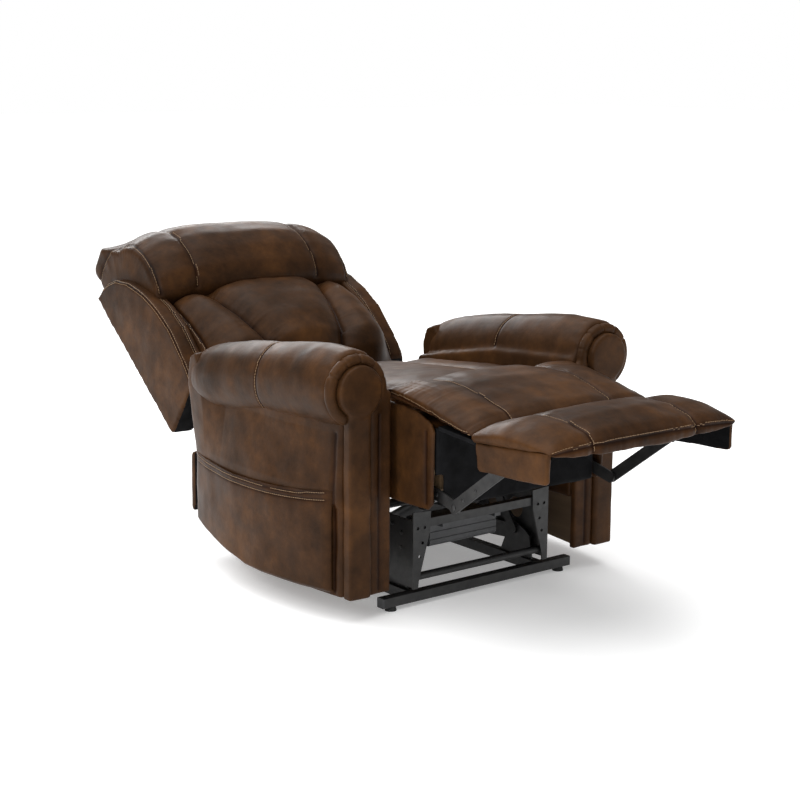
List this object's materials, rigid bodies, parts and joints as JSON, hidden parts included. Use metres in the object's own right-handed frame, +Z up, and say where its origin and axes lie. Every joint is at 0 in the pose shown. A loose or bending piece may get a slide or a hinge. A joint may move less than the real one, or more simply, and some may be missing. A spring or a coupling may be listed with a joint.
{
  "type": "lift recliner chair",
  "caption": "Powered lift recliner armchair, stored fully reclined with its leg rest out: linkage lift base, gliding seat, tilting back and folding footrest.",
  "frame": {"origin": "middle of the object's footprint box, on the floor, in the stored reclined pose", "axes": "+Z up; the chair faces -Y; +X is the sitter's left; lengths in metres"},
  "size_m": [0.9113, 1.8087, 0.7849],
  "materials": {
    "upholstery": "burnished brown leather, satin to glossy, light tan contrast stitching",
    "mechanism": "satin black powder coat",
    "timber": "unfinished plywood",
    "plastic": "matt dark grey",
    "lining": "black non-woven lining",
    "rod": "ground rod",
    "rubber": "matt black"
  },
  "bodies": {
    "base": {"base_front_bar": "mechanism", "base_rear_bar": "mechanism", "base_side_rails": "mechanism", "actuator_bar": "mechanism", "base_brackets": "mechanism", "floor_feet": "rubber", "tube_caps": "plastic"},
    "rear_links": {"lift_rear_links": "mechanism", "lift_torque_tube": "mechanism"},
    "front_links": {"lift_front_links": "mechanism"},
    "lift_drive": {"lift_actuator": "mechanism", "lift_motor": "plastic"},
    "lift_ram": {"lift_rod": "rod"},
    "chair": {"chair_side_plates": "mechanism", "front_legs": "mechanism", "cross_tubes": "mechanism", "cross_rails": "mechanism", "seat_glides": "mechanism", "drive_rail": "mechanism", "drive_motor": "plastic", "arm_board_right": "timber", "arm_board_left": "timber", "arm_roll_right": "upholstery", "arm_roll_left": "upholstery", "arm_side_right": "upholstery", "arm_side_left": "upholstery", "arm_front_right": "upholstery", "arm_front_left": "upholstery", "side_pocket": "upholstery", "hand_control": "plastic", "rear_panel": "upholstery"},
    "carriage": {"drive_carriage": "plastic"},
    "key_up_body": {"key_up": "plastic"},
    "key_down_body": {"key_down": "plastic"},
    "seat": {"seat_rails": "timber", "mechanism_plates": "mechanism", "seat_deck": "timber", "seat_side_right": "upholstery", "seat_side_left": "upholstery", "seat_front": "lining", "seat_cushion": "upholstery", "leg_pad_rear": "upholstery"},
    "leg_flap": {"leg_board": "mechanism", "leg_pad_front": "upholstery"},
    "footrest": {"foot_board": "timber", "foot_flap_right": "upholstery", "foot_flap_left": "upholstery", "foot_brackets": "mechanism", "foot_pad": "upholstery"},
    "lower_links": {"leg_lower_links": "mechanism", "leg_torque_tube": "mechanism"},
    "upper_links": {"leg_upper_links": "mechanism"},
    "back": {"back_frame": "mechanism", "back_brackets": "mechanism", "back_cover": "upholstery", "back_wing_right": "upholstery", "back_wing_left": "upholstery", "back_cushion": "upholstery", "headrest": "upholstery"}
  },
  "joints": [
    {"name": "lift", "type": "hinge", "parent": "base", "child": "rear_links", "pos_m": [0, -0.271, 0.1], "axis": [1, 0, 0], "range_deg": [0, 50]},
    {"name": "lift_tilt", "type": "hinge", "parent": "rear_links", "child": "chair", "pos_m": [0, 0.154, 0.08], "axis": [1, 0, 0], "range_deg": [-26, 0]},
    {"name": "lift_front_link", "type": "hinge", "parent": "base", "child": "front_links", "pos_m": [0, -0.311, 0.087], "axis": [1, 0, 0], "range_deg": [0, 55.27]},
    {"name": "lift_drive_tilt", "type": "hinge", "parent": "base", "child": "lift_drive", "pos_m": [0, 0.062, 0.046], "axis": [1, 0, 0], "range_deg": [0, 5]},
    {"name": "lift_ram_travel", "type": "slide", "parent": "lift_drive", "child": "lift_ram", "axis": [0, -0.8604, 0.5096], "range_m": [0, 0.1004]},
    {"name": "recline_glide", "type": "slide", "parent": "chair", "child": "seat", "axis": [0, 1, 0], "range_m": [0, 0.09]},
    {"name": "back_tilt", "type": "hinge", "parent": "seat", "child": "back", "pos_m": [0, 0.289, 0.36], "axis": [1, 0, 0], "range_deg": [0, 38]},
    {"name": "leg_rest", "type": "hinge", "parent": "seat", "child": "leg_flap", "pos_m": [0, -0.521, 0.452], "axis": [1, 0, 0], "range_deg": [0, 85.03]},
    {"name": "foot_tilt", "type": "hinge", "parent": "leg_flap", "child": "footrest", "pos_m": [0, -0.659, 0.44], "axis": [1, 0, 0], "range_deg": [0, 8.99]},
    {"name": "leg_lower_link", "type": "hinge", "parent": "seat", "child": "lower_links", "pos_m": [0, -0.35, 0.3289], "axis": [1, 0, 0], "range_deg": [0, 88.47]},
    {"name": "leg_knee", "type": "hinge", "parent": "lower_links", "child": "upper_links", "pos_m": [0, -0.5574, 0.2816], "axis": [1, 0, 0], "range_deg": [-87.59, 0]},
    {"name": "drive_travel", "type": "slide", "parent": "chair", "child": "carriage", "axis": [0, 1, 0], "range_m": [0, 0.1402]},
    {"name": "key_up_press", "type": "slide", "parent": "chair", "child": "key_up_body", "axis": [1, 0, 0], "range_m": [0, 0.0015], "stiffness_N_per_m": 300, "springref_m": -0.0005},
    {"name": "key_down_press", "type": "slide", "parent": "chair", "child": "key_down_body", "axis": [1, 0, 0], "range_m": [0, 0.0015], "stiffness_N_per_m": 300, "springref_m": -0.0005}
  ],
  "couplings": [
    {"joint": "lift_tilt", "follows": "lift", "ratio": -0.52},
    {"joint": "lift_front_link", "follows": "lift", "ratio": 1.1045},
    {"joint": "lift_drive_tilt", "follows": "lift", "ratio": 0.099661},
    {"joint": "lift_ram_travel", "follows": "lift", "m_per_rad": 0.11478},
    {"joint": "back_tilt", "follows": "recline_glide", "rad_per_m": 7.3691},
    {"joint": "foot_tilt", "follows": "leg_rest", "ratio": 0.10549},
    {"joint": "leg_lower_link", "follows": "leg_rest", "ratio": 1.0399},
    {"joint": "leg_knee", "follows": "leg_rest", "ratio": -1.0295},
    {"joint": "drive_travel", "follows": "leg_rest", "m_per_rad": 0.094336}
  ]
}
